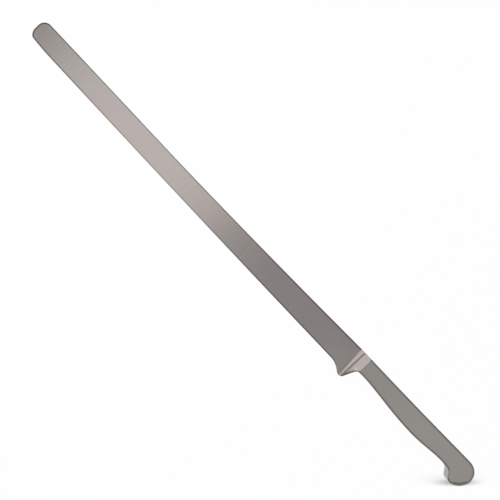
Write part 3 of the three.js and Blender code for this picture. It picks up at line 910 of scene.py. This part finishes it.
def ground_blade_steel():
    """Satin steel: clouds, the belt, fine lines and a painted light low at the heel mix two tints."""
    material, tree = new_material("ground_blade_steel")
    clouds = grain(tree, CLOUD_SIZE)
    belt = grain(tree, BELT_SIZE)
    lines = grain(tree, LINE_SIZE, FINE_DETAIL)
    along, up = drawn(tree)
    # Painted light: low at the heel, towards the bolster, the tint is lifted a little.
    heel_painted_light = rising(tree, along, HEEL_PAINTED_LIGHT_FROM, HEEL_PAINTED_LIGHT_BY) * (1 - rising(tree, up, 0, HEEL_PAINTED_LIGHT_TOP))
    marks_and_heel_light = clouds * CLOUD_SHARE + belt * BELT_SHARE + lines * LINE_SHARE + heel_painted_light * HEEL_PAINTED_LIGHT_SHARE
    tint = blended(tree, marks_and_heel_light - MARKS_AND_HEEL_LIGHT_LESS, GROUND_DARK, GROUND_LIGHT)
    roughness = GROUND_ROUGHNESS + clouds * CLOUD_ROUGHNESS + lines * LINE_ROUGHNESS
    height = lines * LINE_RELIEF + belt * BELT_RELIEF
    metal(tree, tint, roughness, relief(tree, height, GROUND_DEPTH, GROUND_STRENGTH))
    return material


blade.data.materials.append(ground_blade_steel())
print("blade:", blade.data.materials[0].name)

# %% [markdown]
# The flanks of the bolster are buffed on a wheel until they mirror the studio. What is left of the
# grinding shows as hair lines down the collar, and the buffing itself as faint waves. The wheel doesn't
# reach into the hollow at the front, which stays duller. Where the hollow runs out into the blade, below
# a slanting line, it is painted in the blade's darker tint: a painted shade that narrows the hollow's
# light band towards the beard. So the finish changes twice with the place.

# %% Polished bolster steel
WAVE_SIZE, HAIR_SIZE = (6, 9, 6), (0.16, 7, 3)
BUFFED_FROM, BUFFED_BY = 2.9, 3.5
HOLLOW_FROM, HOLLOW_BY = 1.4, 2.4
HOLLOW_SLANT = 0.125
RUN_OUT_PAINTED_SHADE = (0.315, 0.286, 0.276)
HOLLOW_DARK, HOLLOW_LIGHT = (0.54, 0.482, 0.468), (0.61, 0.55, 0.535)
POLISH_DARK, POLISH_LIGHT = (0.605, 0.548, 0.536), (0.685, 0.62, 0.606)
DULL_ROUGHNESS, BUFFED_LESS, WAVE_ROUGHNESS, HAIR_ROUGHNESS = 0.23, 0.10, 0.05, 0.05
HAIR_RELIEF, WAVE_RELIEF = 0.5, 0.5
POLISH_DEPTH, POLISH_STRENGTH = 0.003, 0.25


def polished_bolster_steel():
    """Steel in three zones along the collar: the blade's tint as painted shade, dull in the hollow, then
    buffed.
    """
    material, tree = new_material("polished_bolster_steel")
    waves = grain(tree, WAVE_SIZE)
    hairs = grain(tree, HAIR_SIZE, FINE_DETAIL)
    along, up = drawn(tree)
    buffed = rising(tree, along, BUFFED_FROM, BUFFED_BY)
    hollowed = rising(tree, along + up * HOLLOW_SLANT, HOLLOW_FROM, HOLLOW_BY)
    hollow = blended(tree, waves, HOLLOW_DARK, HOLLOW_LIGHT)
    polish = blended(tree, waves, POLISH_DARK, POLISH_LIGHT)
    # Painted shade: below a slanting line the front of the hollow takes the blade's darker tint.
    front = blended(tree, hollowed, RUN_OUT_PAINTED_SHADE, hollow)
    tint = blended(tree, buffed, front, polish)
    roughness = DULL_ROUGHNESS - buffed * BUFFED_LESS + waves * WAVE_ROUGHNESS + hairs * HAIR_ROUGHNESS
    height = hairs * HAIR_RELIEF + waves * WAVE_RELIEF
    metal(tree, tint, roughness, relief(tree, height, POLISH_DEPTH, POLISH_STRENGTH))
    return material


bolster.data.materials.append(polished_bolster_steel())
print("bolster:", bolster.data.materials[0].name)

# %% [markdown]
# The handle is blasted with fine beads, which gives it an even matt grey that doesn't slip or glare. Its
# noise is the same in every direction: a grain finer than a hair, and wide soft patches that hands have
# polished a little.

# %% Matt handle steel
PATCH_SIZE, BEAD_SIZE = (22, 14, 14), (0.22, 0.22, 0.22)
PATCH_SHARE, BEAD_SHARE = 0.7, 0.3
MATT_DARK, MATT_LIGHT = (0.338, 0.319, 0.295), (0.397, 0.375, 0.348)
MATT_ROUGHNESS, PATCH_ROUGHNESS, BEAD_ROUGHNESS = 0.30, 0.08, 0.05
BEAD_DEPTH, BEAD_STRENGTH = 0.006, 0.3


def matt_handle_steel():
    """Blasted steel: wide patches and a fine grain mix two tints."""
    material, tree = new_material("matt_handle_steel")
    patches = grain(tree, PATCH_SIZE)
    beads = grain(tree, BEAD_SIZE, FINE_DETAIL)
    tint = blended(tree, patches * PATCH_SHARE + beads * BEAD_SHARE, MATT_DARK, MATT_LIGHT)
    roughness = MATT_ROUGHNESS + patches * PATCH_ROUGHNESS + beads * BEAD_ROUGHNESS
    metal(tree, tint, roughness, relief(tree, beads, BEAD_DEPTH, BEAD_STRENGTH))
    return material


handle_finish = matt_handle_steel()
for side in ("left", "right"):
    bpy.data.objects[f"handle_half_{side}"].data.materials.append(handle_finish)
print("handle:", handle_finish.name)

# %% [markdown]
# Weld metal takes on a faint straw and violet tone from its own heat, and grinding leaves it a little
# smoother than the blasted sheet. The resin in the handle is never seen, but it gets its own cast
# mottling, so that a cut through the knife still looks right.

# %% Weld and resin
HEAT_SIZE, GRIND_SIZE = (3, 3, 3), (0.4, 0.4, 0.15)
VIOLET, STRAW = (0.33, 0.295, 0.30), (0.38, 0.35, 0.325)
WELD_ROUGHNESS, GRIND_ROUGHNESS = 0.30, 0.08
GRIND_DEPTH, GRIND_STRENGTH = 0.004, 0.3
FLOW_SIZE = (4, 3, 3)
RESIN_DARK, RESIN_LIGHT = (0.105, 0.078, 0.055), (0.16, 0.118, 0.082)
RESIN_ROUGHNESS, FLOW_ROUGHNESS = 0.62, 0.2
FLOW_DEPTH, FLOW_STRENGTH = 0.2, 0.4


def ground_weld_steel():
    """Weld metal: its heat mixes two tints, and the wheel leaves fine lines."""
    material, tree = new_material("ground_weld_steel")
    heat = grain(tree, HEAT_SIZE)
    lines = grain(tree, GRIND_SIZE, FINE_DETAIL)
    tint = blended(tree, heat, VIOLET, STRAW)
    roughness = WELD_ROUGHNESS + lines * GRIND_ROUGHNESS
    metal(tree, tint, roughness, relief(tree, lines, GRIND_DEPTH, GRIND_STRENGTH))
    return material


def cast_resin():
    """Brown resin, mottled by the way it flowed."""
    material, tree = new_material("cast_resin")
    flow = grain(tree, FLOW_SIZE)
    shader = tree.node("ShaderNodeBsdfPrincipled", None, {
        "Base Color": blended(tree, flow, RESIN_DARK, RESIN_LIGHT),
        "Roughness": RESIN_ROUGHNESS + flow * FLOW_ROUGHNESS,
        "Normal": relief(tree, flow, FLOW_DEPTH, FLOW_STRENGTH),
    })
    tree.node("ShaderNodeOutputMaterial", None, {"Surface": shader})
    return material


weld_finish = ground_weld_steel()
seam_weld.data.materials.append(weld_finish)
mouth_weld.data.materials.append(weld_finish)
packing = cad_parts["tang_packing"]
packing.data.materials.clear()
packing.data.materials.append(cast_resin())
print("hidden resin:", packing.data.materials[0].name)

# %% [markdown]
# The studio is a white floor that turns up into a low white wall far away, so that no view finds its
# end. To the camera and in reflections the floor is mostly its own even white, with a small share of real
# light. To the camera that share grows in a low ellipse about the place where the butt rests, and it is
# full close to the butt. That ellipse is a painted shadow: in it the floor shows only the dim real light,
# darker than the white, and the real shade of the butt deepens it. To all other light the floor is plain
# pale paint.

# %% Floor
FLOOR_RADIUS = 8.0
FLOOR_RINGS = (0.02, 0.5, 2.0)
COVE_START = 0.7
COVE_STEPS = 12
ROUND_PLACES = 96
COVE_ANGLE = math.radians(23)
FAR_WHITE = 0.98
SHADOW_MIDDLE = tuple(to_frame((HANDLE_BACK - 5.6, 3.2, -HALF_THICKNESS)))
SHADOW_SIZE = (0.033, 0.0064, 1)
SHADOW_WHITE = 0.78
CONTACT_MIDDLE = tuple(to_frame((HANDLE_BACK - 1.9, 4.1, -HALF_THICKNESS)))
CONTACT_SIZE = (0.0220, 0.0037, 1)
CONTACT_WHITE = 0.0
FLOOR_PAINT = (0.94, 0.94, 0.94, 1)
PURE_WHITE = (1, 1, 1, 1)
PICTURE_TURN = math.radians(46.867)

cove = np.linspace(0, 1, COVE_STEPS + 1)
cove_out = FLOOR_RADIUS * (COVE_START + (1 - COVE_START) * np.sin(cove * np.pi / 2))
cove_rise = FLOOR_RADIUS * math.tan(COVE_ANGLE) * (1 - np.cos(cove * np.pi / 2))
profile_out = np.concatenate([FLOOR_RINGS, cove_out])
profile_up = np.concatenate([np.zeros(len(FLOOR_RINGS)), cove_rise])
around = np.linspace(0, 2 * np.pi, ROUND_PLACES, endpoint=False)
sweep = np.stack([
    profile_out[:, None] * np.cos(around),
    profile_out[:, None] * np.sin(around),
    np.broadcast_to(profile_up[:, None], (len(profile_out), ROUND_PLACES)),
], -1)
floor_mesh = bpy.data.meshes.new("studio_floor")
floor_faces = grid_faces(len(profile_out), ROUND_PLACES, False)[:, ::-1].tolist()
floor_mesh.from_pydata(sweep.reshape(-1, 3), [], floor_faces + [list(range(ROUND_PLACES))])
floor_mesh.shade_smooth()
floor = bpy.data.objects.new("studio_floor", floor_mesh)
bpy.context.scene.collection.objects.link(floor)


def outside_ellipse(tree, middle, size, least):
    """A share that is least in the middle of an ellipse level with the picture, and 1 outside it."""
    place = tree.node("ShaderNodeTexCoord", output="Object")
    across = tree.node("ShaderNodeMapping", {"vector_type": "TEXTURE"}, {
        "Vector": place, "Location": middle, "Rotation": (0, 0, PICTURE_TURN), "Scale": size,
    })
    away = tree.node("ShaderNodeVectorMath", {"operation": "LENGTH"}, {0: across}, output="Value")
    return least + (1 - least) * rising(tree, away, 0, 1)


def studio_white():
    """Paint for most light, and an even white for the camera and for reflections, with a painted shadow at
    the butt.
    """
    material, tree = new_material("studio_white")
    camera = tree.node("ShaderNodeLightPath", output="Is Camera Ray")
    glossy = tree.node("ShaderNodeLightPath", output="Is Glossy Ray")
    through = tree.node("ShaderNodeLightPath", output="Is Transmission Ray")
    # Painted shadow: in two ellipses at the butt the floor gives up its own white, so the dim real light
    # shows there darker.
    wide = outside_ellipse(tree, SHADOW_MIDDLE, SHADOW_SIZE, SHADOW_WHITE)
    contact = outside_ellipse(tree, CONTACT_MIDDLE, CONTACT_SIZE, CONTACT_WHITE)
    own = (camera * wide * contact + glossy + through) * FAR_WHITE
    paint = tree.node("ShaderNodeBsdfDiffuse", None, {"Color": FLOOR_PAINT})
    white = tree.node("ShaderNodeEmission", None, {"Color": PURE_WHITE, "Strength": 1.0})
    surface = tree.node("ShaderNodeMixShader", None, {0: own, 1: paint, 2: white})
    tree.node("ShaderNodeOutputMaterial", None, {"Surface": surface})
    return material


floor_mesh.materials.append(studio_white())
print(f"floor: {2 * FLOOR_RADIUS:.0f} m across")

# %% [markdown]
# Steel shows what stands round it, so the light is arranged by what each face mirrors. The flat flanks
# look at the ceiling, which is a plain soft grey. The eased edges look at the sides of the room, which are
# darker, and so they draw a thin dark line round the knife. A long soft lamp hangs over the front half of
# the blade, whose sheen fades towards the heel, and a weaker one beyond the butt.

# %% World and lamps
CEILING = 0.71
SIDES = 0.14
SIDES_UP_TO, CEILING_FROM = 0.60, 0.92
SHEEN_PLACE = (-0.205, -0.055, 0.45)
SHEEN_SIZE = (0.30, 1.0)
SHEEN_WATTS = 0.90
HANDLE_LAMP_PLACE = (0.345, 0.0, 0.45)
HANDLE_LAMP_SIZE = (0.20, 0.2)
HANDLE_LAMP_WATTS = 0.04

world = bpy.data.worlds.new("studio_room")
bpy.context.scene.world = world
world.use_nodes = True
world.node_tree.nodes.clear()
room = Wire(world.node_tree)
direction = room.node("ShaderNodeTexCoord", output="Generated")
height = room.node("ShaderNodeSeparateXYZ", None, {0: direction}, output="Z")
glow = SIDES + (CEILING - SIDES) * rising(room, height, SIDES_UP_TO, CEILING_FROM)
air = room.node("ShaderNodeBackground", None, {"Color": PURE_WHITE, "Strength": glow})
room.node("ShaderNodeOutputWorld", None, {"Surface": air})


def soft_lamp(name, place, size, watts):
    """An oblong area lamp that shines straight down from a place in the frame, in metres."""
    light = bpy.data.lights.new(name, "AREA")
    light.shape = "RECTANGLE"
    light.size, light.size_y = size
    light.energy = watts
    lamp = bpy.data.objects.new(name, light)
    lamp.location = place
    lamp.visible_camera = False
    bpy.context.scene.collection.objects.link(lamp)


soft_lamp("sheen_lamp", SHEEN_PLACE, SHEEN_SIZE, SHEEN_WATTS)
soft_lamp("handle_lamp", HANDLE_LAMP_PLACE, HANDLE_LAMP_SIZE, HANDLE_LAMP_WATTS)
print("lamps:", ", ".join(sorted(light.name for light in bpy.data.lights)))

# %% [markdown]
# The photograph was taken square on to the flank from a little over half a metre, with the knife slanting
# from the upper left to the lower right. A camera that looks straight down and is turned about its own
# axis sees the same. The focal length follows from how much of the knife's plane the picture holds.

# %% Camera
PICTURE_WIDTH = 0.350
CAMERA_DISTANCE = 0.560
PICTURE_MIDDLE = (-103.97, 9.94, 0)
SENSOR_WIDTH = 36
FAR_CLIP = 100

camera_data = bpy.data.cameras.new("photo_camera")
camera_data.sensor_width = SENSOR_WIDTH
camera_data.lens = SENSOR_WIDTH * CAMERA_DISTANCE / PICTURE_WIDTH
camera_data.clip_end = FAR_CLIP
camera = bpy.data.objects.new("photo_camera", camera_data)
camera.location = to_frame(PICTURE_MIDDLE) + (0, 0, CAMERA_DISTANCE)
camera.rotation_euler = (0, 0, PICTURE_TURN)
bpy.context.scene.collection.objects.link(camera)
bpy.context.scene.camera = camera
bpy.context.scene.view_settings.view_transform = "Standard"
print(f"lens {camera_data.lens:.1f} mm")
